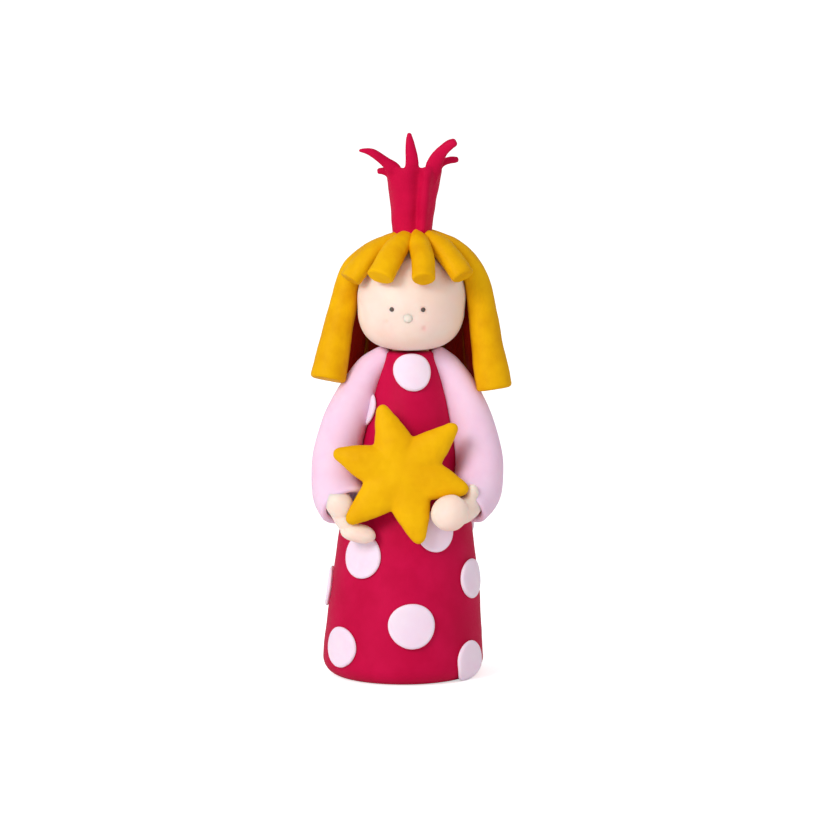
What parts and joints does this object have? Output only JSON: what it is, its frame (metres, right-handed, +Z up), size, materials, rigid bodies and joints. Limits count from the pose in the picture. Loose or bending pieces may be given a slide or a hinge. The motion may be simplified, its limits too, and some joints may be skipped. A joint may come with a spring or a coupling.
{
  "type": "clay princess figure on a craft stick",
  "caption": "Free-standing hand-modelled clay princess with rope hair, a pointed crown and a dotted bell dress, holding a soft-cornered star in its mitten hands, on a hidden craft stick core.",
  "frame": {"origin": "centre of the flat underside of the dress, on the surface that the figure stands on", "axes": "+Z up through the figure, -Y the way the face looks, +X to the right of someone who looks at the face"},
  "size_m": [0.0546, 0.0502, 0.1502],
  "materials": {
    "crimson_clay": "hardened modelling clay, crimson, matt with a soft sheen",
    "hair_clay": "hardened modelling clay, mustard yellow, matt and faintly grainy",
    "star_clay": "hardened modelling clay, deep yellow, matt and finger smoothed",
    "flesh_clay": "hardened modelling clay, pale flesh, smooth with a soft sheen",
    "sleeve_clay": "hardened modelling clay, pale pink, matt",
    "dot_clay": "hardened modelling clay, whitish pink, matt",
    "eye_ink": "dark grey-brown clay beads",
    "birch": "plain sanded birch"
  },
  "bodies": {
    "root": {"dress_body": "crimson_clay", "craft_stick": "birch", "head": "flesh_clay", "nose": "flesh_clay", "eye_left": "eye_ink", "eye_right": "eye_ink", "star": "star_clay", "sleeve_left": "sleeve_clay", "sleeve_right": "sleeve_clay", "hand_left": "flesh_clay", "hand_right": "flesh_clay", "crown": "crimson_clay", "fringe_1": "hair_clay", "fringe_2": "hair_clay", "fringe_3": "hair_clay", "fringe_4": "hair_clay", "lock_left": "hair_clay", "lock_right": "hair_clay", "back_hair_1": "hair_clay", "back_hair_2": "hair_clay", "back_hair_3": "hair_clay", "back_hair_4": "hair_clay", "back_hair_5": "hair_clay", "back_hair_6": "hair_clay", "dot_01": "dot_clay", "dot_02": "dot_clay", "dot_03": "dot_clay", "dot_04": "dot_clay", "dot_05": "dot_clay", "dot_06": "dot_clay", "dot_07": "dot_clay", "dot_08": "dot_clay", "dot_09": "dot_clay", "dot_10": "dot_clay", "dot_11": "dot_clay", "dot_12": "dot_clay", "dot_13": "dot_clay", "dot_14": "dot_clay", "dot_15": "dot_clay", "dot_16": "dot_clay", "dot_17": "dot_clay", "dot_18": "dot_clay", "dot_19": "dot_clay", "dot_20": "dot_clay"}
  },
  "joints": []
}
